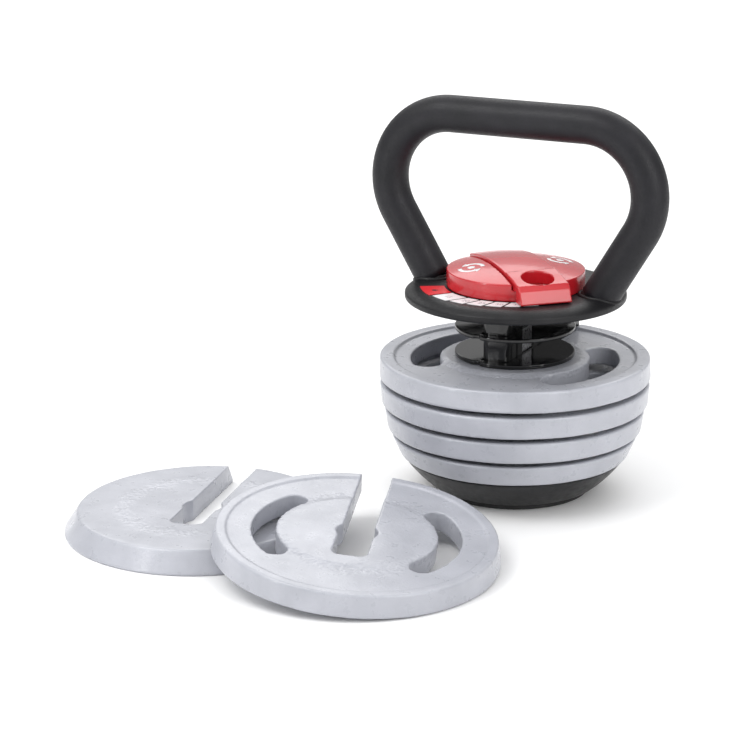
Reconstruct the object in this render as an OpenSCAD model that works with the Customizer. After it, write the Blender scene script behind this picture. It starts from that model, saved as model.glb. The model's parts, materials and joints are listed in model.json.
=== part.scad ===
// Adjustable kettlebell: a bent tube handle on a round flange, a slotted core with a spine, six slotted
// iron plates with spacer discs between them, and a dial that turns a lock shaft inside the core.
// The origin is the centre of the foot's underside. +X runs along the handle, the front is -Y.

/* [Handle] */
// Outer diameter of the handle tube
handle_d = 26.8; // [24:0.4:30]
// Wall thickness of the handle tube
handle_wall = 3; // [2:0.5:5]
// Height of the centre line of the top bar
handle_z = 272.6; // [265:0.2:285]
// Half length of the straight top bar
bar_half = 52; // [46:1:56]
// Bend radius of the two corners, on the centre line
bend_r = 49; // [45:1:52]
// Lean of the arms from the vertical, in degrees
arm_lean = 31; // [29:1:31]

/* [Plates] */
// Thickness of one plate
plate_t = 15.5; // [15:0.5:16]
// Distance from one plate to the next
pitch = 19.2; // [19.2:0.2:19.6]
// Width of the slot that lets a plate slide onto the core
slot_w = 21.2; // [21.2:0.1:22]
// Radius of the round lock notch at the middle of the slot
notch_r = 13.9; // [13.9:0.1:14.4]
// Width of the pocket at the closed end of the slot
pocket_w = 23.6; // [22.6:0.2:24]
// How far the pocket reaches in front of the plate's centre
pocket_y = 37.4; // [37.4:0.2:39]
// Inner radius of the two curved lightening holes
window_in = 54; // [52:0.5:56]
// Outer radius of the two curved lightening holes
window_out = 75.5; // [72:0.5:77]
// Outer radius of those holes in the fifth plate
window_out_5 = 70.5; // [68:0.5:76]
// Depth of the recessed ring on a plate's top face
recess = 2.5; // [1:0.5:3]

/* [Core] */
// Width of the core and its spine
core_w = 20.5; // [20:0.1:21]
// How far the core's nose reaches in front of the axis
nose_y = 36.6; // [35:0.2:36.6]
// How far the spine reaches behind the axis
spine_y = 97; // [90:1:97]
// Radius of the spacer discs
disc_r = 43.6; // [40:0.2:46]
// Thickness of a spacer disc
disc_t = 3; // [2:0.5:3]

/* [Lock] */
// Radius of the lock shaft's lobes
lobe_r = 13.2; // [12.6:0.1:13.2]
// Width of a lobe across its two flats
lobe_w = 19; // [17:0.5:19]
// Radius of the lock shaft between its lobes
shaft_r = 8; // [7:0.5:8]

/* [Flange] */
// Radius of the flange
flange_r = 80; // [79:0.5:82]
// Height of the flange's top face
flange_z = 152; // [152:0.5:154]
// Height of the flange's lower edge
flange_low = 143; // [142.5:0.5:144]

/* [Dial] */
// Radius of the dial
dial_r = 49.8; // [48:0.2:49.8]
// Height of the dial's side wall
dial_wall = 12.2; // [11:0.2:14]
// Height of the dial's dome above its side wall
dome = 6; // [5:0.5:8]
// Width of the bar across the dial
dial_bar_w = 38; // [34:1:40]
// Radius of the finger hole in the bar
finger_r = 11.5; // [10:0.5:12]
// Direction in which the bar's nose points, in degrees from +X
bar_angle = -45; // [-50:1:-42]

/* [Base] */
// Radius of the foot pad
foot_r = 56; // [52:1:58]
// Thickness of the foot pad
foot_t = 5; // [4:0.5:6]

/* [Loose plates] */
// Place of the fifth plate's lowest face along X
lean_x = -24.6; // [-26:0.2:-23]
// Place of the fifth plate's lowest face along Y
lean_y = -200.5; // [-202:0.1:-199]
// Tilt of the fifth plate, which leans on the sixth
lean_tilt = 6.6; // [6.6:0.1:8]
// Direction of the fifth plate's low side, in degrees from +X
lean_dir = -21.9; // [-24:0.1:-20]
// Direction of the fifth plate's slot, in degrees from +X
lean_slot = 109.6; // [105:0.2:115]
// Place of the sixth plate along X
flat_x = -158; // [-165:1:-157]
// Place of the sixth plate along Y
flat_y = -179; // [-182:1:-175]
// Direction of the sixth plate's slot, in degrees from +X
flat_slot = 102; // [95:1:110]

/* [Hidden] */
$fn = 96;

gap = 0.3;               // between neighbours that move
eps = 0.01;
far = 300;               // longer than any cut has to be
base_top = 27.3;
first_z = base_top + gap;
level_count = 6;
core_top = flange_z - 10;
plate_low_r = [83.5, 92.5, 97, 98.6, 97.4, 97];
plate_high_r = [89.4, 94.6, 98, 98, 94.9, 88];
edge = 1;                // chamfer on a plate's rims
rim_in = 88;             // inner radius of a plate's raised rim
boss_r = 50;             // top and foot of the sloping side of a plate's boss
boss_foot = 56;
bowl_r = 99.5;           // radius and centre height of the base's round side
bowl_z = 84;
web_bore = shaft_r + 0.6;
lobe_room = lobe_r + 0.3;
bush_r = 11;
fit = 0.05;              // radial clearance of a running fit
press = 0.02;            // radial clearance of a held part
tube_r = handle_d / 2;
tube_in = tube_r - handle_wall;
seat_z = flange_z + 3;   // height of the joint between handle and flange
corner_z = handle_z - bend_r;
arm_top = [bar_half + bend_r * cos(arm_lean), corner_z - bend_r * sin(arm_lean)];
arm_x = arm_top[0] - (arm_top[1] - seat_z) * tan(arm_lean);
arm_length = 30 + (arm_top[1] - seat_z) / cos(arm_lean);
handle_screw_r = 4;
screw_r = 2.5;
core_screws_y = [-25, 22, 45];
recess_r = 47;           // pocket in the flange under the dial
recess_z = flange_z - 3;
dial_z = flange_z + gap;
wall_top = dial_z + dial_wall;
dome_r = (dial_r * dial_r + dome * dome) / (2 * dome);
bar_floor = dial_z + 8;  // floor of the channel that holds the bar
bar_rise = 1.8;          // how far the bar stands above the dome
bar_slit = 0.8;          // open joint between the bar and the dial on each side
crest_s = 58;            // where the bar's nose turns down
nose_s = 61.5;           // where the nose ends
finger_s = 43;           // centre of the finger hole along the bar
finger_floor = dial_z + 5;
detent_r = 36;           // the detent's distance from the dial's axis
detent_pin_r = 3;
detent_angle = 200;
detent_tip_z = dial_z + 0.9;
scale_in = 51.5;
scale_out = 69;          // the cells get narrower towards the front
scale_taper = 1.5;
scale_t = 0.35;
red_from = -150;
white_from = -126;
white_first = 20;
white_step = 12.4;
white_count = 5;
cell_gap = 1.1;
disc_notch_angle = -105;

// Height of the bar's top face at a distance from the dial's axis
function dial_top(s) = wall_top + dome + bar_rise - dome_r + sqrt(dome_r * dome_r - s * s);
function plate_z(i) = first_z + i * pitch;
function disc_z(i) = plate_z(i) + plate_t + (pitch - plate_t - disc_t) / 2;
function arc(cx, cy, r, from, to, steps) =
    [for (k = [0:steps]) let (a = from + (to - from) * k / steps) [cx + r * cos(a), cy + r * sin(a)]];

// A place on the handle's arm, s along its centre line from the joint, on the side given by 1 or -1.
module on_arm(side) {
    for (x = side) translate([x * arm_x, 0, seat_z]) rotate([0, x * arm_lean, 0]) children();
}

module below(z) {
    translate([-far, -far, z - 2 * far]) cube(2 * far);
}

module slab(z0, z1, x0, x1, y0, y1) {
    translate([x0, y0, z0]) cube([x1 - x0, y1 - y0, z1 - z0]);
}

module ring(r_out, r_in, h) {
    difference() {
        cylinder(r = r_out, h = h);
        translate([0, 0, -1]) cylinder(r = r_in, h = h + 2);
    }
}

module countersunk(r, length, head_r, head_h) {
    translate([0, 0, -length]) cylinder(r = r, h = length);
    cylinder(r = head_r, h = head_h);
}

// ---- handle

seam = 0.02;             // hairline butt seam where a bend meets a straight stretch
backing = 1;             // reach of the backing ring inside the wall on each side of a seam

// A straight stretch of tube along +Z with a backing ring across the seam at its far end.
module tube_stretch(length) {
    ring(tube_r, tube_in, length - seam);
    translate([0, 0, length - backing]) ring(tube_r - 0.8, tube_in + 0.8, 2 * backing);
}

module half_handle() {
    translate([0, 0, handle_z]) rotate([0, 90, 0]) tube_stretch(bar_half);
    translate([bar_half, 0, corner_z]) {
        rotate([90, 0, 0]) rotate([0, 0, -arm_lean]) rotate_extrude(angle = 90 + arm_lean)
            translate([bend_r, 0]) difference() {
                circle(r = tube_r);
                circle(r = tube_in);
            }
        rotate([0, arm_lean, 0]) translate([bend_r, 0, -arm_length]) tube_stretch(arm_length);
    }
}

module handle_tube() {
    color([0.22, 0.22, 0.24]) difference() {
        union() {
            half_handle();
            mirror([1, 0, 0]) half_handle();
        }
        below(seat_z);
    }
}

plug_length = 24;
screw_seat = 5.5;        // the screw head's seat, below the joint
screw_head_h = 4.5;

module handle_plugs() {
    color([0.5, 0.5, 0.52]) difference() {
        on_arm([-1, 1]) translate([0, 0, -20]) cylinder(r = tube_in - press, h = plug_length + 20);
        below(seat_z + gap);
        on_arm([-1, 1]) translate([0, 0, -30]) cylinder(r = handle_screw_r + press, h = plug_length + 26);
    }
}

module handle_screws() {
    color([0.3, 0.3, 0.32]) on_arm([-1, 1]) {
        translate([0, 0, -screw_seat]) cylinder(r = handle_screw_r, h = screw_seat + plug_length - 6);
        translate([0, 0, -screw_seat - screw_head_h]) difference() {
            cylinder(r = 6.5, h = screw_head_h);
            translate([0, 0, -1]) cylinder(r = 3, h = 3.5, $fn = 6);
        }
    }
}

// ---- flange

slope_r = 18.3;          // rounding of the flange's top towards its rim
slope_end = 50;          // how far round that arc goes, in degrees from its foot
rim_x = flange_r - slope_r * cos(slope_end);

module flange_profile() {
    polygon(concat([[0, recess_z], [recess_r, recess_z], [recess_r, flange_z]],
        [for (p = arc(rim_x, flange_z - slope_r, slope_r, 90, slope_end, 8)) p],
        arc(flange_r - 2, flange_low + 2, 2, 20, -90, 5),
        [[flange_r - 5, flange_low], [flange_r - 9, flange_z - 6], [30, flange_z - 6.5], [0, flange_z - 6.5]]));
}

module flange() {
    color([0.2, 0.2, 0.22]) difference() {
        union() {
            rotate_extrude() flange_profile();
            slab(core_top, recess_z, -core_w / 2 - 1.5, core_w / 2 + 1.5, -nose_y - 2, 72);
            intersection() {
                on_arm([-1, 1]) translate([0, 0, -20]) cylinder(r = tube_r, h = 40);
                slab(flange_low + 1, seat_z, -far, far, -far, far);
            }
            translate([0, 0, core_top]) cylinder(r = bush_r + 4, h = recess_z - core_top);
            rotate(detent_angle) translate([detent_r, 0, recess_z - 9])
                cylinder(r = detent_pin_r + 2.5, h = 7);
        }
        translate([0, 0, core_top - 1]) cylinder(r = bush_r, h = 30);
        for (y = core_screws_y) translate([0, y, core_top - 1]) {
            cylinder(r = screw_r + fit, h = 20);
            translate([0, 0, recess_z - core_top - 1.6]) cylinder(r = 4.9, h = 10);
        }
        on_arm([-1, 1]) {
            translate([0, 0, -40]) cylinder(r = handle_screw_r + fit, h = 60);
            translate([0, 0, -40]) cylinder(r = 7.2, h = 40 - screw_seat);
        }
        rotate(detent_angle) translate([detent_r, 0, recess_z - 7.5]) cylinder(r = detent_pin_r + fit, h = 20);
    }
}

module scale_cell(from, to, outer) {
    translate([0, 0, flange_z]) rotate(from) rotate_extrude(angle = to - from)
        translate([scale_in, 0]) square([outer - scale_in, scale_t]);
}

module scale_red_cell() {
    color([0.85, 0.08, 0.1]) scale_cell(red_from, white_from - cell_gap, scale_out);
}

module scale_white_cells() {
    color([0.93, 0.93, 0.94]) {
        scale_cell(white_from, white_from + white_first - cell_gap, scale_out - scale_taper);
        for (k = [0:white_count - 1]) {
            start = white_from + white_first + k * white_step;
            scale_cell(start, start + white_step - cell_gap, scale_out - (k + 2) * scale_taper);
        }
    }
}

// ---- dial

module dial_dome(rise) {
    intersection() {
        translate([0, 0, dial_z]) cylinder(r = dial_r, h = dial_wall + dome + rise);
        translate([0, 0, wall_top + dome + rise - dome_r]) sphere(r = dome_r, $fn = 180);
    }
}

module dial_body() {
    color([0.8, 0.14, 0.16]) difference() {
        union() {
            dial_dome(0);
            translate([0, 0, recess_z + 1.1]) cylinder(r = 15, h = 5);
        }
        rotate(bar_angle)
            slab(bar_floor, bar_floor + 40, -far, far, -dial_bar_w / 2 - bar_slit, dial_bar_w / 2 + bar_slit);
        rotate(bar_angle) translate([finger_s, 0, finger_floor]) cylinder(r = finger_r, h = 20);
        slab(0, dial_z + 4, -5.05, 5.05, -5.05, 5.05);
        translate([0, 0, dial_z + 4 - eps]) cylinder(r = 5.6, h = 10);
        // annular track for the detent, with a dimple at every scale position
        translate([0, 0, dial_z - 1]) ring(detent_r + 3.4, detent_r - 3.4, 2);
        for (a = [0:15:90])
            rotate(detent_angle + a) translate([detent_r, 0, dial_z]) cylinder(r = 1.6, h = 2.4);
    }
}

module dial_bar() {
    color([0.84, 0.16, 0.18]) rotate(bar_angle) difference() {
        union() {
            intersection() {
                dial_dome(bar_rise);
                slab(bar_floor, far, -far, 30, -dial_bar_w / 2, dial_bar_w / 2);
            }
            rotate([90, 0, 0]) translate([0, 0, -dial_bar_w / 2]) linear_extrude(dial_bar_w)
                polygon([[30 - eps, bar_floor], [dial_r + gap, bar_floor], [dial_r + gap, dial_z + 0.5],
                    [nose_s, dial_z + 0.5], [nose_s, dial_z + 1.6], [crest_s, dial_z + 9.7],
                    [54.5, dial_z + 13], [50, wall_top + bar_rise - 0.2], [40, dial_top(40)],
                    [30 - eps, dial_top(30)]]);
        }
        translate([finger_s, 0, 0]) cylinder(r = finger_r, h = far);
    }
}

module dial_washer() {
    color([0.75, 0.75, 0.77]) translate([0, 0, dial_z + 4]) ring(5.3, 2.1, 1);
}

module dial_screw() {
    color([0.6, 0.6, 0.62]) translate([0, 0, dial_z + 5]) difference() {
        countersunk(2, 16, 4.4, 3);
        translate([0, 0, 1]) cylinder(r = 1.5, h = 5, $fn = 6);
    }
}

module thrust_washer() {
    color([0.85, 0.85, 0.82]) translate([0, 0, recess_z]) ring(15, bush_r + 0.2, 1);
}

// ---- lock shaft and its bearings

shaft_low = 8;
circlip_z = 10;
clip_r = 6.6;

module lock_shaft() {
    color([0.35, 0.35, 0.37]) difference() {
        union() {
            translate([0, 0, shaft_low]) cylinder(r = shaft_r, h = recess_z - shaft_low);
            slab(recess_z - eps, dial_z + 3.9, -5, 5, -5, 5);
            for (i = [0:level_count - 1]) intersection() {
                translate([0, 0, plate_z(i) + gap]) cylinder(r = lobe_r, h = plate_t - 2 * gap);
                slab(0, far, -lobe_w / 2, lobe_w / 2, -20, 20);
            }
        }
        translate([0, 0, dial_z - 13]) cylinder(r = 2 + press, h = 30);
        translate([0, 0, circlip_z]) ring(shaft_r + 1, clip_r, 1.3);
    }
}

module upper_bush() {
    color([0.72, 0.6, 0.36]) translate([0, 0, core_top]) ring(bush_r - press, shaft_r + fit, recess_z - core_top);
}

module lower_bush() {
    color([0.72, 0.6, 0.36]) translate([0, 0, 13]) ring(bush_r - press, shaft_r + fit, base_top - 13);
}

module shaft_circlip() {
    color([0.5, 0.5, 0.52]) translate([0, 0, circlip_z + 0.1]) difference() {
        ring(11, clip_r + fit, 1.1);
        slab(-1, 3, -2.5, 2.5, 0, 20);
    }
}

module detent_plunger() {
    color([0.7, 0.7, 0.72]) rotate(detent_angle) translate([detent_r, 0, 0]) {
        translate([0, 0, recess_z - 2]) cylinder(r = detent_pin_r, h = 4);
        translate([0, 0, recess_z + 2 - eps]) cylinder(r = 1.2, h = detent_tip_z - recess_z - 2);
    }
}

module detent_spring() {
    color([0.6, 0.6, 0.62]) rotate(detent_angle) translate([detent_r, 0, recess_z - 7.3])
        ring(2.6, 1.8, 5.2);
}

// ---- core

module bell_outline() {
    polygon(concat([[0, base_top], [82.5, base_top]],
        [for (i = [0:level_count - 1]) each [[plate_low_r[i] - 0.8, plate_z(i)],
            [plate_high_r[i] - 0.8, plate_z(i) + plate_t]]],
        [[80, core_top], [0, core_top]]));
}

module core_room() {
    translate([0, 0, base_top - 1]) cylinder(r = web_bore, h = far);
    for (i = [0:level_count - 1]) translate([0, 0, plate_z(i)]) cylinder(r = lobe_room, h = plate_t);
    for (y = core_screws_y) {
        translate([0, y, base_top - 1]) cylinder(r = screw_r + press, h = 19);
        translate([0, y, core_top - 16]) cylinder(r = screw_r + press, h = 19);
    }
}

module core_nose() {
    corner = 6;
    color([0.07, 0.07, 0.08]) difference() {
        union() {
            slab(base_top, core_top, -core_w / 2, core_w / 2, corner - nose_y, 0);
            slab(base_top, core_top, corner - core_w / 2, core_w / 2 - corner, -nose_y, 0);
            for (x = [-1, 1]) translate([x * (core_w / 2 - corner), corner - nose_y, base_top])
                cylinder(r = corner, h = core_top - base_top);
        }
        core_room();
        // two grooves down each side
        for (x = [-1, 1], y = [-29, -19.4]) translate([x * (core_w / 2 + 0.4), y, base_top - 1])
            cylinder(r = 1.2, h = far, $fn = 24);
    }
}

module core_spine() {
    color([0.08, 0.08, 0.09]) difference() {
        intersection() {
            slab(base_top, core_top, -core_w / 2, core_w / 2, 0, spine_y);
            rotate_extrude() bell_outline();
        }
        core_room();
        // side grooves that the spacer discs snap into
        for (i = [0:level_count - 2], x = [-1, 1])
            translate([x * core_w / 2 - 1.2, 17, disc_z(i) - 0.1]) cube([2.4, 6, disc_t + 0.2]);
    }
}

module core_top_screws() {
    color([0.45, 0.45, 0.47]) for (y = core_screws_y) translate([0, y, recess_z - 2.6]) difference() {
        countersunk(screw_r, 18, 4.7, 2.5);
        translate([0, 0, 1]) cylinder(r = 1.6, h = 5, $fn = 6);
    }
}

module core_base_screws() {
    color([0.45, 0.45, 0.47]) for (y = core_screws_y) translate([0, y, 13]) rotate([180, 0, 0]) difference() {
        countersunk(screw_r, 30, 4.7, 4);
        translate([0, 0, 2]) cylinder(r = 2, h = 5, $fn = 6);
    }
}

module spacer_disc(i) {
    color([0.05, 0.05, 0.06]) translate([0, 0, disc_z(i)]) difference() {
        cylinder(r = disc_r, h = disc_t);
        slab(-1, disc_t + 1, -core_w / 2 - fit, core_w / 2 + fit, -nose_y - fit, far);
        rotate(disc_notch_angle) translate([disc_r + 0.8, 0, -1]) cylinder(r = 3.4, h = disc_t + 2);
    }
    color([0.05, 0.05, 0.06]) for (x = [-1, 1]) translate([x * core_w / 2 - 1, 17.3, disc_z(i)])
        cube([2, 5.4, disc_t]);
}

// ---- plates

module plate_blank(i, low_r, high_r) {
    depth = i == level_count - 2 ? recess / 2 : recess;
    rotate_extrude($fn = 144) polygon(concat([[0, 0], [low_r - edge, 0], [low_r, edge],
        [high_r, plate_t - edge], [high_r - edge, plate_t]],
        i == level_count - 1 ? [[0, plate_t]] :
        [[min(rim_in, high_r - 5), plate_t], [min(rim_in, high_r - 5) - 0.8, plate_t - depth],
        [boss_foot, plate_t - depth], [boss_r, plate_t], [0, plate_t]]));
}

module curved_window(outer) {
    mid = (window_in + outer) / 2;
    r = (outer - window_in) / 2;
    half = 39;
    rotate(-half) rotate_extrude(angle = 2 * half) translate([window_in, -1])
        square([outer - window_in, plate_t + 2]);
    for (a = [-half, half]) rotate(a) translate([mid, 0, -1]) cylinder(r = r, h = plate_t + 2);
}

module plate(i) {
    difference() {
        plate_blank(i, plate_low_r[i], plate_high_r[i]);
        slab(-1, plate_t + 1, -slot_w / 2, slot_w / 2, 0, far);
        translate([0, 0, -1]) cylinder(r = notch_r, h = plate_t + 2);
        slab(-1, plate_t + 1, -pocket_w / 2, pocket_w / 2, 6 - pocket_y, 0);
        slab(-1, plate_t + 1, 6 - pocket_w / 2, pocket_w / 2 - 6, -pocket_y, 0);
        for (x = [-1, 1]) translate([x * (pocket_w / 2 - 6), 6 - pocket_y, -1]) cylinder(r = 6, h = plate_t + 2);
        if (i < level_count - 1) for (a = [0, 180]) rotate(a)
            curved_window(i == level_count - 2 ? window_out_5 : window_out);
    }
}

module mounted_plate(i) {
    color([0.74, 0.75, 0.78]) translate([0, 0, plate_z(i)]) plate(i);
}

// Lean of the fifth plate: its underside touches the floor at its low side.
lean_z = (plate_low_r[4] - edge) * sin(lean_tilt) + 0.05;

module plate_5() {
    color([0.74, 0.75, 0.78]) translate([lean_x, lean_y, lean_z]) rotate(lean_dir)
        rotate([0, lean_tilt, 0]) rotate(lean_slot - lean_dir - 90) plate(4);
}

module plate_6() {
    color([0.74, 0.75, 0.78]) translate([flat_x, flat_y, 0]) rotate(flat_slot - 90) plate(5);
}

// ---- base

foot_screws_r = 44;

module base_bowl() {
    color([0.13, 0.13, 0.14]) difference() {
        rotate_extrude() intersection() {
            translate([0, bowl_z]) circle(r = bowl_r, $fn = 180);
            translate([0, foot_t]) square([90, base_top - foot_t]);
        }
        translate([0, 0, foot_t - 1]) cylinder(r = 28, h = 9);
        translate([0, 0, 0]) cylinder(r = bush_r, h = far);
        for (y = core_screws_y) translate([0, y, 0]) {
            cylinder(r = screw_r + fit, h = 40);
            cylinder(r = 5.2, h = 13);
        }
        for (a = [45:90:315]) rotate(a) translate([foot_screws_r, 0, 0]) cylinder(r = 2 + press, h = 16);
    }
}

module foot_pad() {
    color([0.1, 0.1, 0.1]) difference() {
        rotate_extrude() polygon([[0, 0], [foot_r - 1.2, 0], [foot_r, 1.2], [foot_r, foot_t], [0, foot_t]]);
        for (a = [45:90:315]) rotate(a) translate([foot_screws_r, 0, -1]) {
            cylinder(r = 2.1, h = 10);
            cylinder(r = 4.6, h = 3.6);
        }
    }
}

module foot_screws() {
    color([0.5, 0.5, 0.52]) for (a = [45:90:315]) rotate(a) translate([foot_screws_r, 0, 2.6])
        rotate([180, 0, 0]) difference() {
            countersunk(2, 13, 4.2, 2);
            translate([0, 0, 1]) cylinder(r = 1.3, h = 5, $fn = 6);
        }
}

handle_tube();
handle_plugs();
handle_screws();
flange();
scale_red_cell();
scale_white_cells();
dial_body();
dial_bar();
dial_screw();
dial_washer();
thrust_washer();
lock_shaft();
upper_bush();
lower_bush();
shaft_circlip();
detent_plunger();
detent_spring();
core_nose();
core_spine();
core_top_screws();
core_base_screws();
spacer_disc(0);  // spacer_disc_1
spacer_disc(1);  // spacer_disc_2
spacer_disc(2);  // spacer_disc_3
spacer_disc(3);  // spacer_disc_4
spacer_disc(4);  // spacer_disc_5
mounted_plate(0);  // plate_1
mounted_plate(1);  // plate_2
mounted_plate(2);  // plate_3
mounted_plate(3);  // plate_4
plate_5();
plate_6();
base_bowl();
foot_pad();
foot_screws();
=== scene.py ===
"""Looks for the adjustable kettlebell.

Soft-edged castings, powder coat, gloss dial, printed scale, studio and camera.
"""

import json
import math

import bmesh
import bpy
import numpy as np
from mathutils import Matrix, Vector, noise


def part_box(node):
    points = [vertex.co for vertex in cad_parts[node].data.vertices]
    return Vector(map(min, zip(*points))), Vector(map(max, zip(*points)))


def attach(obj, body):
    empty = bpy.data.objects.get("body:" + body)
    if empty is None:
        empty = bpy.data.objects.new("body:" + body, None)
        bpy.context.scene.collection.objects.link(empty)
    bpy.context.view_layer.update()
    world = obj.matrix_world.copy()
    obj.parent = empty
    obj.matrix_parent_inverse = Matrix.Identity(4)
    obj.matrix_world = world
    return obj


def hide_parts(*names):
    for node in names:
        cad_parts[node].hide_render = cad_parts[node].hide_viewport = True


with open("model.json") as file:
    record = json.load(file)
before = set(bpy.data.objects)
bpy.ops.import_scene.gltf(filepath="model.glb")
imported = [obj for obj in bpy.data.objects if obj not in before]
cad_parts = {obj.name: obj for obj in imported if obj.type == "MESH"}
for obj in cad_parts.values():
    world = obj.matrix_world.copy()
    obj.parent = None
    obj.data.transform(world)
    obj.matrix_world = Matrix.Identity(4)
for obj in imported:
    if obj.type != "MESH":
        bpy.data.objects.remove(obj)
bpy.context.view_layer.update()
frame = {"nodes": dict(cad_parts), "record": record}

MM = 0.001
BODY_OF = {node: body for body, nodes in frame["record"]["behaviour"]["bodies"].items() for node in nodes}

# ---- driving sizes, in metres, as in the frame

TUBE_R = (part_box("handle_tube")[1].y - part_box("handle_tube")[0].y) / 2
HANDLE_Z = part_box("handle_tube")[1].z - TUBE_R
BAR_HALF = 52 * MM
BEND_R = 49 * MM
ARM_LEAN = math.radians(31)
FLANGE_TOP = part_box("scale_red_cell")[0].z
LABEL_T = 0.35 * MM
DIAL_LOW = FLANGE_TOP + 0.3 * MM
DIAL_R = 49.8 * MM
DIAL_WALL_TOP = DIAL_LOW + 12.2 * MM
DIAL_DOME = 6 * MM
BAR_ANGLE = math.radians(-45)
SCALE_IN, SCALE_OUT, SCALE_TAPER = 51.5 * MM, 69 * MM, 1.5 * MM
PLATE_T = 15.5 * MM
BOSS_FOOT = 56 * MM
CRUST_WIDTH = 6 * MM
CRUST_FROM = 0.05
SKIN_DEPTH = 0.25 * MM
CRUST_HEIGHT = 0.45 * MM


# ---- mesh helpers


def add_object(name, mesh):
    piece = bpy.data.objects.new(name, mesh)
    bpy.context.scene.collection.objects.link(piece)
    return piece


def mesh_from(name, verts, faces, smooth=True):
    mesh = bpy.data.meshes.new(name)
    mesh.from_pydata([tuple(v) for v in verts], [], faces)
    mesh.validate()
    mesh.shade_smooth() if smooth else mesh.shade_flat()
    return add_object(name, mesh)


def apply_modifiers(piece):
    """Bakes the modifiers into the mesh."""
    depsgraph = bpy.context.evaluated_depsgraph_get()
    mesh = bpy.data.meshes.new_from_object(piece.evaluated_get(depsgraph))
    piece.modifiers.clear()
    piece.data = mesh
    mesh.shade_smooth()
    return piece


def get_coords(mesh):
    co = np.empty(len(mesh.vertices) * 3, np.float32)
    mesh.vertices.foreach_get("co", co)
    return co.reshape(-1, 3).astype(float)


def set_coords(mesh, co):
    mesh.vertices.foreach_set("co", co.astype(np.float32).ravel())
    mesh.update()


def soft_copy(node, name, voxel, passes):
    """A copy of a CAD node as one even mesh whose edges are rounded off, as paint or a mould rounds them."""
    mesh = frame["nodes"][node].data.copy()
    mesh.materials.clear()
    piece = add_object(name, mesh)
    weld = piece.modifiers.new("weld", "WELD")
    weld.merge_threshold = 0.01 * MM
    remesh = piece.modifiers.new("remesh", "REMESH")
    remesh.mode = "VOXEL"
    remesh.voxel_size = voxel
    remesh.use_smooth_shade = True
    smooth = piece.modifiers.new("smooth", "SMOOTH")
    smooth.factor = 0.5
    smooth.iterations = passes
    return apply_modifiers(piece)


def dress(piece, material, slot, body, *replaced):
    piece.data.materials.clear()
    piece.data.materials.append(material)
    if replaced:
        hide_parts(*replaced)
    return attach(piece, body)


# ---- materials


class Paint:
    """A Principled material with helpers for procedural colour, roughness and bump."""

    def __init__(self, name, base, roughness, **sockets):
        self.material = bpy.data.materials.new(name)
        self.material.use_nodes = True
        self.tree = self.material.node_tree
        self.shader = self.tree.nodes["Principled BSDF"]
        self.shader.inputs["Base Color"].default_value = (*base, 1)
        self.shader.inputs["Roughness"].default_value = roughness
        for key, value in sockets.items():
            self.shader.inputs[key.replace("_", " ")].default_value = value
        self.coords = self.tree.nodes.new("ShaderNodeTexCoord").outputs["Object"]

    def node(self, kind, **settings):
        made = self.tree.nodes.new(kind)
        for key, value in settings.items():
            setattr(made, key, value)
        return made

    def link(self, source, target):
        self.tree.links.new(source, target)

    def noise(self, per_metre, detail=3.0, roughness=0.55):
        made = self.node("ShaderNodeTexNoise")
        made.inputs["Scale"].default_value = per_metre
        made.inputs["Detail"].default_value = detail
        made.inputs["Roughness"].default_value = roughness
        self.link(self.coords, made.inputs["Vector"])
        return made.outputs["Fac"]

    def cells(self, per_metre, feature="F1"):
        made = self.node("ShaderNodeTexVoronoi", feature=feature)
        made.inputs["Scale"].default_value = per_metre
        self.link(self.coords, made.inputs["Vector"])
        return made.outputs["Distance"]

    def ramp(self, value, stops):
        """stops: (place, grey or colour) pairs."""
        made = self.node("ShaderNodeValToRGB")
        elements = made.color_ramp.elements
        while len(elements) < len(stops):
            elements.new(0.5)
        for element, (place, colour) in zip(elements, stops):
            element.position = place
            element.color = (*colour, 1) if hasattr(colour, "__len__") else (colour, colour, colour, 1)
        self.link(value, made.inputs["Fac"])
        return made.outputs["Color"]

    def times(self, a, b):
        made = self.node("ShaderNodeMath", operation="MULTIPLY")
        for socket, value in zip(made.inputs, (a, b)):
            if isinstance(value, (int, float)):
                socket.default_value = value
            else:
                self.link(value, socket)
        return made.outputs[0]

    def plus(self, a, b):
        made = self.node("ShaderNodeMath", operation="ADD")
        self.link(a, made.inputs[0])
        self.link(b, made.inputs[1])
        return made.outputs[0]

    def colour(self, output):
        self.link(output, self.shader.inputs["Base Color"])

    def rough(self, output):
        self.link(output, self.shader.inputs["Roughness"])

    def bump(self, height, distance, strength=1.0):
        made = self.node("ShaderNodeBump")
        made.inputs["Distance"].default_value = distance
        made.inputs["Strength"].default_value = strength
        self.link(height, made.inputs["Height"])
        self.link(made.outputs["Normal"], self.shader.inputs["Normal"])


def plate_paint():
    """Thick light grey paint over sand-cast iron: soft waves, fine orange peel, patches of coarser sand."""
    paint = Paint("plate_paint", (0.5, 0.51, 0.545), 0.3, Coat_Weight=0.35, Coat_Roughness=0.15)
    waves = paint.ramp(paint.noise(38, 5), [(0.3, (0.36, 0.37, 0.41)), (0.7, (0.43, 0.44, 0.485))])
    paint.colour(waves)
    paint.rough(paint.ramp(paint.noise(120, 3), [(0.3, 0.24), (0.75, 0.44)]))
    peel = paint.times(paint.noise(420, 2), 0.4)
    patches = paint.ramp(paint.noise(22, 2), [(0.42, 0.25), (0.62, 1.0)])
    sand = paint.times(paint.noise(210, 4, 0.7), patches)
    paint.bump(paint.plus(peel, sand), 0.45 * MM, 0.6)
    return paint.material


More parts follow.
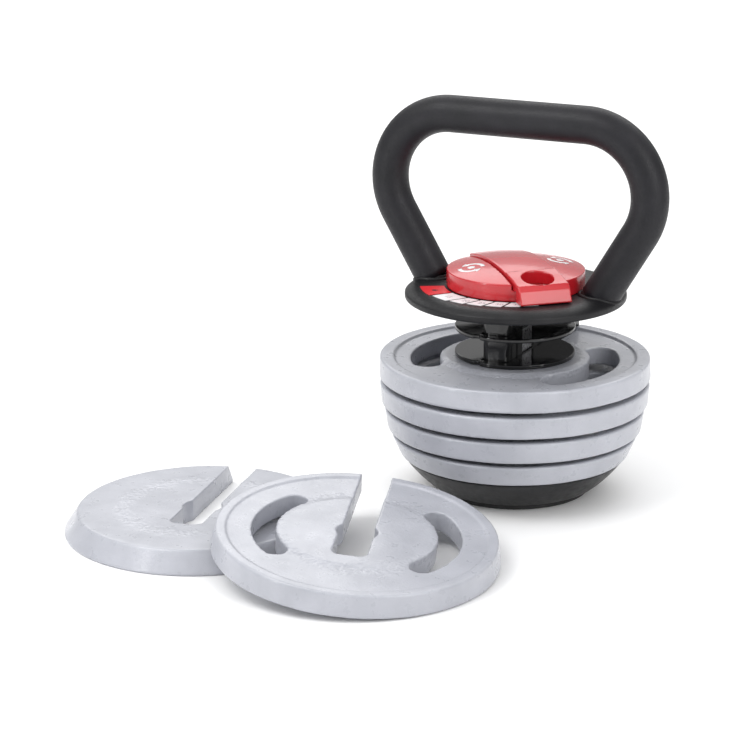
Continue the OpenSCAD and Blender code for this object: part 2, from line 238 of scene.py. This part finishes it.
def powder_coat(name, low, high, roughness):
    """Dark matt powder coat: a fine even grain with faint cloudiness."""
    paint = Paint(name, low, roughness, Specular_IOR_Level=0.3)
    paint.colour(paint.ramp(paint.noise(60, 4), [(0.3, low), (0.7, high)]))
    paint.rough(paint.ramp(paint.noise(700, 2), [(0.3, roughness - 0.08), (0.7, roughness + 0.1)]))
    paint.bump(paint.plus(paint.cells(1500), paint.noise(2600, 2)), 0.09 * MM, 0.55)
    return paint.material


def black_iron():
    """Satin black paint over cast iron."""
    paint = Paint("base_black", (0.008, 0.008, 0.009), 0.36, Specular_IOR_Level=0.3)
    stops = [(0.3, (0.006, 0.006, 0.007)), (0.7, (0.012, 0.012, 0.013))]
    paint.colour(paint.ramp(paint.noise(50, 4), stops))
    paint.rough(paint.ramp(paint.noise(200, 3), [(0.3, 0.3), (0.7, 0.46)]))
    paint.bump(paint.noise(300, 4, 0.65), 0.25 * MM, 0.5)
    return paint.material


def gloss(name, low, high, roughness, **sockets):
    """Smooth gloss moulding or enamel, with faint clouding and hairline wear in its roughness."""
    wave, grain = 25, 0.03 * MM
    paint = Paint(name, low, roughness, **sockets)
    paint.colour(paint.ramp(paint.noise(wave, 2), [(0.3, low), (0.7, high)]))
    paint.rough(paint.ramp(paint.noise(160, 5, 0.7), [(0.35, roughness), (0.8, roughness + 0.09)]))
    paint.bump(paint.noise(wave * 8, 2), grain, 0.25)
    return paint.material


def print_film(name, low, high):
    """Printed label film: slightly mottled ink, satin."""
    paint = Paint(name, low, 0.3)
    paint.colour(paint.ramp(paint.noise(900, 3), [(0.3, low), (0.6, high)]))
    paint.bump(paint.noise(1500, 2), 0.02 * MM, 0.2)
    return paint.material


def metal(name, low, high, roughness):
    """Machined metal with turned streaks."""
    paint = Paint(name, low, roughness, Metallic=1.0)
    paint.colour(paint.ramp(paint.noise(150, 4), [(0.3, low), (0.7, high)]))
    paint.rough(paint.ramp(paint.noise(500, 3), [(0.3, roughness - 0.06), (0.7, roughness + 0.1)]))
    paint.bump(paint.noise(1200, 2), 0.03 * MM, 0.3)
    return paint.material


def rubber():
    paint = Paint("foot_rubber", (0.02, 0.02, 0.02), 0.75)
    paint.colour(paint.ramp(paint.noise(90, 4), [(0.3, (0.016, 0.016, 0.016)), (0.7, (0.03, 0.03, 0.03))]))
    paint.bump(paint.noise(1400, 3), 0.08 * MM, 0.5)
    return paint.material


LOOKS = {
    "plate_paint": plate_paint(),
    "handle_coat": powder_coat("handle_coat", (0.007, 0.007, 0.009), (0.013, 0.0125, 0.016), 0.46),
    "flange_coat": powder_coat("flange_coat", (0.005, 0.005, 0.006), (0.01, 0.01, 0.0115), 0.44),
    "base_black": black_iron(),
    "core_black": gloss("core_black", (0.003, 0.003, 0.0035), (0.006, 0.006, 0.007), 0.1),
    "disc_black": gloss("disc_black", (0.002, 0.002, 0.0025), (0.004, 0.004, 0.005), 0.05),
    "dial_red": gloss(
        "dial_red", (0.44, 0.01, 0.017), (0.52, 0.016, 0.024), 0.2,
        Coat_Weight=0.35, Coat_Roughness=0.06),
    "label_red": print_film("label_red", (0.62, 0.012, 0.018), (0.72, 0.02, 0.03)),
    "label_white": print_film("label_white", (0.76, 0.76, 0.78), (0.86, 0.86, 0.87)),
    "nylon": print_film("nylon", (0.7, 0.7, 0.66), (0.8, 0.8, 0.76)),
    "bronze": metal("bronze", (0.55, 0.36, 0.16), (0.66, 0.46, 0.22), 0.35),
    "steel": metal("steel", (0.4, 0.4, 0.42), (0.56, 0.56, 0.58), 0.28),
    "black_steel": metal("black_steel", (0.05, 0.05, 0.055), (0.09, 0.09, 0.095), 0.4),
    "spring_steel": metal("spring_steel", (0.3, 0.3, 0.32), (0.45, 0.45, 0.47), 0.3),
    "foot_rubber": rubber(),
}


# ---- castings


def roughen(piece, seed, centre, axes):
    """Gives a plate the slight waves of a sand casting, and a rough, pebbled skin round its boss."""
    mesh = piece.data
    co = get_coords(mesh)
    normals = np.empty(len(mesh.vertices) * 3, np.float32)
    mesh.vertices.foreach_get("normal", normals)
    normals = normals.reshape(-1, 3)
    local = (co - centre) @ axes
    radius = np.hypot(local[:, 0], local[:, 1])
    crust = np.exp(-(((radius - BOSS_FOOT) / CRUST_WIDTH) ** 2)) * (local[:, 2] > PLATE_T * 0.6)
    shift = np.empty(len(co))
    for k, p in enumerate(local):
        v = Vector(p) + seed
        wave = noise.noise(v * 45) * 0.16 + noise.noise(v * 160) * 0.05
        if crust[k] > CRUST_FROM:
            wave += crust[k] * (abs(noise.noise(v * 380)) * 0.8 + noise.noise(v * 800) * 0.3)
        shift[k] = wave * MM
    most = np.where(crust > CRUST_FROM, CRUST_HEIGHT, SKIN_DEPTH)
    set_coords(mesh, co + normals * np.clip(shift, -SKIN_DEPTH, most)[:, None])


def plate_axes(node):
    """Centre of a plate's underside, and its own axes as columns, from its place in the frame."""
    if node != "plate_5":
        low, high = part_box(node)
        return np.array([(low.x + high.x) / 2, (low.y + high.y) / 2, low.z]), np.eye(3)
    mesh = frame["nodes"][node].data
    normal = max(mesh.polygons, key=lambda p: p.area).normal
    up = Vector(normal) if normal.z > 0 else -Vector(normal)
    co = get_coords(mesh)
    side = Vector((1, 0, 0)).cross(up).normalized()
    axes = np.array([side.cross(up), side, up]).T
    flat = co @ axes
    middle = np.array([*((flat.min(0) + flat.max(0)) / 2)[:2], flat[:, 2].min()])
    return axes @ middle, axes


def make_plates():
    for i in range(1, 7):
        node = f"plate_{i}"
        piece = soft_copy(node, f"cast_{node}", 0.8 * MM, 2)
        centre, axes = plate_axes(node)
        roughen(piece, Vector((i * 3.7, i * 1.3, 0)), centre, axes)
        dress(piece, LOOKS["plate_paint"], "plate_paint", BODY_OF[node], node)


def make_soft_copies():
    for node, name, slot, voxel, passes in (
        ("flange", "flange_casting", "flange_coat", 0.75 * MM, 5),
        ("base_bowl", "base_casting", "base_black", 0.95 * MM, 4),
        ("foot_pad", "foot_moulding", "foot_rubber", 0.8 * MM, 3),
        ("core_nose", "core_nose_enamelled", "core_black", 0.5 * MM, 3),
        ("core_spine", "core_spine_enamelled", "core_black", 0.7 * MM, 3),
        ("dial_body", "dial_wings", "dial_red", 0.5 * MM, 5),
        ("dial_bar", "dial_grip_bar", "dial_red", 0.5 * MM, 6),
        ("lock_shaft", "lock_shaft_machined", "steel", 0.6 * MM, 2),
    ):
        dress(soft_copy(node, name, voxel, passes), LOOKS[slot], slot, BODY_OF[node], node)
    for i in range(1, 6):
        node = f"spacer_disc_{i}"
        dress(soft_copy(node, f"{node}_gloss", 0.5 * MM, 3), LOOKS["disc_black"], "disc_black", "root", node)


# ---- handle


def sweep(name, path, normals, radius, sides, closed=False):
    """A round bar along path. normals are directions across the path that the rings start from."""
    verts, faces = [], []
    count = len(path)
    for k, point in enumerate(path):
        ahead = path[(k + 1) % count] if closed or k < count - 1 else point
        behind = path[k - 1] if closed or k > 0 else point
        along = (ahead - behind).normalized()
        across = normals[k] - along * normals[k].dot(along)
        across.normalize()
        other = along.cross(across)
        for j in range(sides):
            turn = 2 * math.pi * j / sides
            verts.append(point + across * (radius * math.cos(turn)) + other * (radius * math.sin(turn)))
    rings = count if closed else count - 1
    for k in range(rings):
        for j in range(sides):
            a, b = k * sides + j, k * sides + (j + 1) % sides
            c, d = ((k + 1) % count) * sides + (j + 1) % sides, ((k + 1) % count) * sides + j
            faces.append((a, b, c, d))
    if not closed:
        faces.append(tuple(range(sides))[::-1])
        faces.append(tuple((count - 1) * sides + j for j in range(sides)))
    return mesh_from(name, verts, faces)


def arm_line(side):
    """Top of an arm's straight stretch, and the direction down it."""
    corner = Vector((side * BAR_HALF, 0, HANDLE_Z - BEND_R))
    top = corner + Vector((side * math.cos(ARM_LEAN), 0, -math.sin(ARM_LEAN))) * BEND_R
    return top, Vector((-side * math.sin(ARM_LEAN), 0, -math.cos(ARM_LEAN)))


def handle_path(reach):
    """Centre line from one arm's foot to the other; reach is how far each arm runs below its bend."""
    right = []
    for k in range(11):
        right.append(Vector((BAR_HALF * k / 10, 0, HANDLE_Z)))
    steps = 44
    for k in range(1, steps + 1):
        angle = math.pi / 2 - (math.pi / 2 + ARM_LEAN) * k / steps
        right.append(Vector((BAR_HALF + BEND_R * math.cos(angle), 0,
                             HANDLE_Z - BEND_R + BEND_R * math.sin(angle))))
    top, down = arm_line(1)
    right += [top + down * (reach * k / 12) for k in range(1, 13)]
    return [Vector((-p.x, 0, p.z)) for p in reversed(right[1:])] + right


def make_handle():
    top, down = arm_line(1)
    reach = (top.z - FLANGE_TOP + 2 * MM) / -down.z
    path = handle_path(reach)
    tube = sweep("handle_tube_coated", path, [Vector((0, 1, 0))] * len(path), TUBE_R, 96)
    dress(tube, LOOKS["handle_coat"], "handle_coat", "root", "handle_tube")
    for side in (-1, 1):
        dress(weld_bead(side), LOOKS["flange_coat"], "flange_coat", "root")


def weld_bead(side):
    """The painted-over weld where an arm meets the flange: a low bead round the arm's foot."""
    top, down = arm_line(side)
    across, other = Vector((0, 1, 0)), Vector((0, 1, 0)).cross(down)
    path, outward = [], []
    count = 96
    for k in range(count):
        turn = 2 * math.pi * k / count
        spoke = across * math.cos(turn) + other * math.sin(turn)
        start = top + spoke * TUBE_R
        point = start + down * ((start.z - FLANGE_TOP) / -down.z)
        for _ in range(6):
            point = start + down * ((start.z - flange_height(math.hypot(point.x, point.y))) / -down.z)
        wobble = 0.12 * MM * noise.noise(Vector((math.cos(turn) * 6, math.sin(turn) * 6, side)))
        path.append(point + spoke * wobble)
        outward.append(spoke)
    return sweep(f"weld_bead_{'right' if side > 0 else 'left'}", path, outward, 1.5 * MM, 16, closed=True)


FLANGE_R = 80 * MM
SLOPE_R = 18.3 * MM
SLOPE_END = math.radians(50)


def flange_height(radius):
    """Height of the flange's top face at a distance from the axis."""
    start = FLANGE_R - SLOPE_R * math.cos(SLOPE_END)
    if radius <= start:
        return FLANGE_TOP
    along = min(radius - start, SLOPE_R * 0.64)
    return FLANGE_TOP - SLOPE_R + math.sqrt(SLOPE_R**2 - along**2)


# ---- printed scale and marks

RED_FROM, WHITE_FROM = math.radians(-150), math.radians(-126)
WHITE_FIRST, WHITE_STEP = math.radians(20), math.radians(12.4)
CELL_LEAN = math.radians(4)
CELL_GAP = math.radians(2.3)


def scale_cell(name, start, end, lean_start, lean_end, outer):
    """A cell of the scale: an arc of film whose ends lean forward with the radius."""
    verts, faces = [], []
    steps, rings = 12, 4
    for level in (FLANGE_TOP, FLANGE_TOP + LABEL_T):
        for r in range(rings + 1):
            share = r / rings
            radius = SCALE_IN + (outer - SCALE_IN) * share
            a0, a1 = start - lean_start * share, end - lean_end * share
            for k in range(steps + 1):
                angle = a0 + (a1 - a0) * k / steps
                verts.append(Vector((radius * math.cos(angle), radius * math.sin(angle), level)))
    row, layer = steps + 1, (steps + 1) * (rings + 1)
    for r in range(rings):
        for k in range(steps):
            a = r * row + k
            faces.append((a, a + row, a + row + 1, a + 1))
            faces.append(tuple(layer + i for i in (a, a + 1, a + row + 1, a + row)))
    edge = [k for k in range(row)] + [r * row + steps for r in range(1, rings + 1)]
    edge += [rings * row + k for k in range(steps - 1, -1, -1)] + [r * row for r in range(rings - 1, 0, -1)]
    for a, b in zip(edge, edge[1:] + edge[:1]):
        faces.append((a, b, layer + b, layer + a))
    return mesh_from(name, verts, faces, smooth=False)


def join(pieces, name):
    """One object from several meshes."""
    joined = bmesh.new()
    for piece in pieces:
        joined.from_mesh(piece.data)
        bpy.data.objects.remove(piece)
    mesh = bpy.data.meshes.new(name)
    joined.to_mesh(mesh)
    joined.free()
    return add_object(name, mesh)


def numeral(text, angle, radius, height):
    """Figures of the scale, standing with their feet towards the flange's rim."""
    curve = bpy.data.curves.new("figure_" + text, "FONT")
    curve.body = text
    curve.size = height
    curve.align_x = "CENTER"
    curve.align_y = "CENTER"
    curve.extrude = 0.03 * MM
    figure = bpy.data.objects.new("figure_" + text, curve)
    bpy.context.scene.collection.objects.link(figure)
    bpy.context.view_layer.update()
    mesh = bpy.data.meshes.new_from_object(figure.evaluated_get(bpy.context.evaluated_depsgraph_get()))
    bpy.data.objects.remove(figure)
    place = Matrix.Rotation(angle, 4, "Z") @ Matrix.Translation((radius, 0, FLANGE_TOP + LABEL_T))
    mesh.transform(place @ Matrix.Rotation(math.pi / 2, 4, "Z"))
    return add_object("figure_" + text, mesh)


def make_scale():
    red = scale_cell("scale_red_film", RED_FROM, WHITE_FROM - CELL_GAP, 0, 0, SCALE_OUT)
    dress(red, LOOKS["label_red"], "label_red", "root", "scale_red_cell")
    cells, figures = [], []
    start, width, lean = WHITE_FROM, WHITE_FIRST, 0
    for k in range(6):
        end, outer = start + width, SCALE_OUT - (k + 1) * SCALE_TAPER
        middle = (SCALE_IN + 1 * MM + outer) / 2
        cells.append(scale_cell(f"cell_{k}", start, end - CELL_GAP, lean, CELL_LEAN, outer))
        figures.append(numeral(str(15 + 5 * k), start + width / 2 - CELL_LEAN / 2, middle, 6 * MM))
        start, width, lean = end, WHITE_STEP, CELL_LEAN
    white = join(cells, "scale_white_film")
    dress(white, LOOKS["label_white"], "label_white", "root", "scale_white_cells")
    ink = print_film("scale_ink", (0.25, 0.25, 0.27), (0.34, 0.34, 0.36))
    dress(join(figures, "scale_figures"), ink, "label_white", "root")
    lock = print_film("scale_mark", (0.05, 0.004, 0.006), (0.1, 0.008, 0.01))
    dress(padlock((RED_FROM + WHITE_FROM) / 2, (SCALE_IN + SCALE_OUT) / 2), lock, "label_red", "root")


def padlock(angle, radius):
    """A plain closed padlock: a block with a bowed shackle."""
    z0, z1 = FLANGE_TOP + LABEL_T, FLANGE_TOP + LABEL_T + 0.05 * MM
    outline = [(-1.9, -2.0), (1.9, -2.0), (1.9, 0.9), (-1.9, 0.9)]
    arch = [(1.4 * math.cos(t), 0.9 + 1.7 * math.sin(t)) for t in np.linspace(0, math.pi, 13)]
    arch += [(0.8 * math.cos(t), 0.9 + 1.1 * math.sin(t)) for t in np.linspace(math.pi, 0, 13)]
    verts, faces = [], []
    for ring in (outline, arch):
        base, size = len(verts), len(ring)
        verts += [(x * MM, y * MM, z) for z in (z0, z1) for x, y in ring]
        faces.append(tuple(base + size + k for k in range(size)))
        faces.append(tuple(base + k for k in reversed(range(size))))
        faces += [(base + k, base + (k + 1) % size, base + size + (k + 1) % size, base + size + k)
                  for k in range(size)]
    piece = mesh_from("scale_padlock", verts, faces, smooth=False)
    place = Matrix.Rotation(angle, 4, "Z") @ Matrix.Translation((radius, 0, 0))
    place = place @ Matrix.Rotation(math.pi / 2, 4, "Z")
    piece.data.transform(place)
    return piece


def dome_height(x, y):
    """Height of the dial's domed top over a point."""
    dome_r = (DIAL_R**2 + DIAL_DOME**2) / (2 * DIAL_DOME)
    return DIAL_WALL_TOP + DIAL_DOME - dome_r + math.sqrt(dome_r**2 - x * x - y * y)


def turn_mark(side):
    """A plain turn symbol printed on a wing: two curved arrows round a dot."""
    size = 1.45
    across = Vector((math.cos(BAR_ANGLE + math.pi / 2), math.sin(BAR_ANGLE + math.pi / 2), 0)) * side
    middle = across * (34 * MM)
    verts, faces = [], []
    lift = 0.06 * MM

    def strip(inner, outer):
        base = len(verts)
        for pair in zip(inner, outer):
            for x, y in pair:
                point = middle + Vector((x, y, 0)) * (size * MM)
                verts.append((point.x, point.y, dome_height(point.x, point.y) + lift))
        for k in range(len(inner) - 1):
            a = base + 2 * k
            faces.append((a, a + 1, a + 3, a + 2))

    for half in (0, math.pi):
        turns = np.linspace(half + 0.35, half + 2.35, 15)
        strip([(4.6 * math.cos(t), 4.6 * math.sin(t)) for t in turns],
              [(6.6 * math.cos(t), 6.6 * math.sin(t)) for t in turns])
        tip = half + 2.95
        turns = np.linspace(half + 2.35, tip, 6)
        spread = np.linspace(2.3, 0.02, 6)
        strip([((5.6 - s) * math.cos(t), (5.6 - s) * math.sin(t)) for t, s in zip(turns, spread)],
              [((5.6 + s) * math.cos(t), (5.6 + s) * math.sin(t)) for t, s in zip(turns, spread)])
    turns = np.linspace(0, 2 * math.pi, 25)
    strip([(0.05 * math.cos(t), 0.05 * math.sin(t)) for t in turns],
          [(1.9 * math.cos(t), 1.9 * math.sin(t)) for t in turns])
    name = f"turn_mark_{'far' if side > 0 else 'near'}"
    piece = mesh_from(name, verts, faces)
    solid = piece.modifiers.new("solid", "SOLIDIFY")
    solid.thickness = 0.05 * MM
    solid.offset = 0
    return apply_modifiers(piece)


def make_marks():
    for side in (-1, 1):
        dress(turn_mark(side), LOOKS["label_white"], "label_white", "dial")


def make_spring():
    """The detent's coil spring."""
    low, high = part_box("detent_spring")
    centre = (low + high) / 2
    wire, turns = 0.35 * MM, 6
    radius = (high.x - low.x) / 2 - wire
    steps = 24 * turns
    path = [Vector((centre.x + radius * math.cos(2 * math.pi * k / 24),
                    centre.y + radius * math.sin(2 * math.pi * k / 24),
                    low.z + wire + (high.z - low.z - 2 * wire) * k / steps)) for k in range(steps + 1)]
    spring = sweep("detent_coil", path, [p - centre for p in path], wire, 10)
    dress(spring, LOOKS["spring_steel"], "spring_steel", "root", "detent_spring")


def paint_rest():
    """CAD nodes that stay as they are get their own material."""
    slots = {s["node"]: s["material_slot"] for s in frame["record"]["subparts"]}
    for node, piece in frame["nodes"].items():
        if not piece.hide_render:
            piece.data.materials.clear()
            piece.data.materials.append(LOOKS[slots[node]])


# ---- studio

CAMERA_PLACE = Vector((0.6622, -1.4726, 0.5632))
CAMERA_YAW, CAMERA_PITCH, CAMERA_ROLL = (math.radians(a) for a in (27.823, 16.526, -0.365))
SENSOR = 36.0
FOCAL_IN_FRAMES = 3.0769


def make_camera():
    data = bpy.data.cameras.new("camera")
    data.sensor_width = SENSOR
    data.lens = SENSOR * FOCAL_IN_FRAMES
    data.clip_start = 0.05
    camera = bpy.data.objects.new("camera", data)
    bpy.context.scene.collection.objects.link(camera)
    turn = Matrix.Rotation(CAMERA_YAW, 4, "Z") @ Matrix.Rotation(math.pi / 2 - CAMERA_PITCH, 4, "X")
    turn = turn @ Matrix.Rotation(CAMERA_ROLL, 4, "Z")
    camera.matrix_world = Matrix.Translation(CAMERA_PLACE) @ turn
    bpy.context.scene.camera = camera


def area_light(name, place, target, size, power, colour=(1, 1, 1)):
    data = bpy.data.lights.new(name, "AREA")
    data.shape = "RECTANGLE"
    data.size, data.size_y = size
    data.energy = power
    data.color = colour
    light = bpy.data.objects.new(name, data)
    bpy.context.scene.collection.objects.link(light)
    light.location = place
    light.rotation_euler = (Vector(target) - Vector(place)).to_track_quat("-Z", "Y").to_euler()


def make_studio():
    floor_material = Paint("studio_floor", (0.94, 0.94, 0.94), 0.6)
    floor_material.colour(floor_material.ramp(floor_material.noise(6, 2), [(0.3, 0.93), (0.7, 0.95)]))
    half = 6.0
    corners = [(-half, -half, 0), (half, -half, 0), (half, half, 0), (-half, half, 0)]
    floor = mesh_from("studio_floor", corners, [(0, 1, 2, 3)])
    floor.data.materials.append(floor_material.material)
    world = bpy.data.worlds.new("studio")
    world.use_nodes = True
    tree = world.node_tree
    height = tree.nodes.new("ShaderNodeSeparateXYZ")
    tree.links.new(tree.nodes.new("ShaderNodeTexCoord").outputs["Generated"], height.inputs[0])
    sky = tree.nodes.new("ShaderNodeValToRGB")
    for element, (place, grey) in zip(sky.color_ramp.elements, ((0.3, 0.55), (0.85, 1.05))):
        element.position = place
        element.color = (grey, grey, grey, 1)
    tree.links.new(height.outputs["Z"], sky.inputs["Fac"])
    tree.links.new(sky.outputs["Color"], tree.nodes["Background"].inputs["Color"])
    tree.nodes["Background"].inputs["Strength"].default_value = 1.0
    bpy.context.scene.world = world
    area_light("key", (-0.7, -0.9, 1.5), (0, -0.05, 0.1), (0.9, 0.9), 13)
    area_light("strip", (-0.5, -1.0, 0.35), (0, 0, 0.13), (0.05, 0.6), 1.6)
    area_light("floor_wash", (-1.4, 3.0, 2.4), (-1.4, 3.0, 0), (4.5, 3.0), 70)
    area_light("edge_strip", (1.5, -0.4, 0.5), (0, 0, 0.15), (0.12, 0.8), 2.2)
    area_light("fill", (1.3, -0.7, 0.9), (0, 0, 0.1), (0.5, 1.1), 7)
    bpy.context.scene.view_settings.view_transform = "Standard"


make_camera()
make_studio()
make_plates()
make_soft_copies()
make_handle()
make_scale()
make_marks()
make_spring()
paint_rest()
